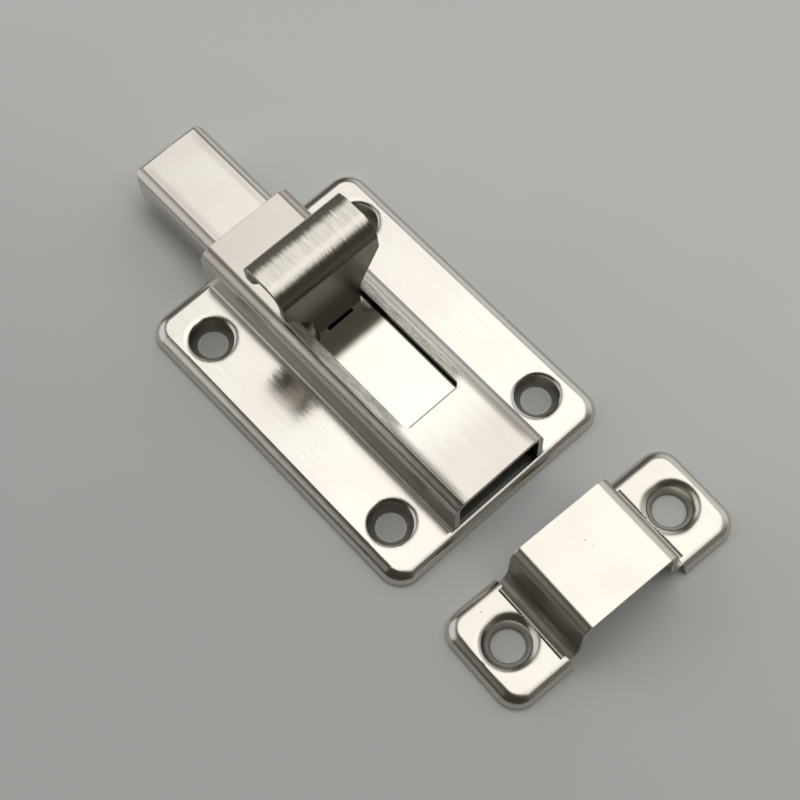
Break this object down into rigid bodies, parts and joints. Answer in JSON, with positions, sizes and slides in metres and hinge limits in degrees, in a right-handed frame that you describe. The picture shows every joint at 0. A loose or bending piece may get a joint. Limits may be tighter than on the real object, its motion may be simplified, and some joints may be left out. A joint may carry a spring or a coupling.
{
  "type": "spring loaded gate latch",
  "caption": "Pressed stainless spring latch: rimmed plate with a raised channel, a sprung sliding bolt with a hooked thumb tab, and a bridge keeper.",
  "frame": {"origin": "centre of the face plate's four screw holes, on the mounting plane", "axes": "+X is the way the bolt springs out, +Z points away from the gate, +Y across the plate"},
  "size_m": [0.1076, 0.0466, 0.0255],
  "materials": {
    "brushed_plate": "satin stainless, brushed along the bolt's travel",
    "plain_sheet": "plain mill finish stainless sheet",
    "satin_bolt": "smooth satin stainless, near mirror where it shows in the window",
    "brushed_tab": "stainless, brushed round the bend of the hook",
    "spring_wire": "bright drawn spring wire",
    "brushed_keeper": "satin stainless, brushed along the bolt's travel"
  },
  "bodies": {
    "housing": {"face_plate": "brushed_plate", "back_plate": "plain_sheet", "return_spring": "spring_wire", "keeper": "brushed_keeper"},
    "bolt_slider": {"bolt": "satin_bolt", "thumb_tab": "brushed_tab"}
  },
  "joints": [
    {"name": "bolt_slide", "type": "slide", "parent": "housing", "child": "bolt_slider", "axis": [-1, 0, 0], "range_m": [0, 0.0199], "stiffness_N_per_m": 150, "springref_m": -0.01, "deforming": ["return_spring"]}
  ]
}
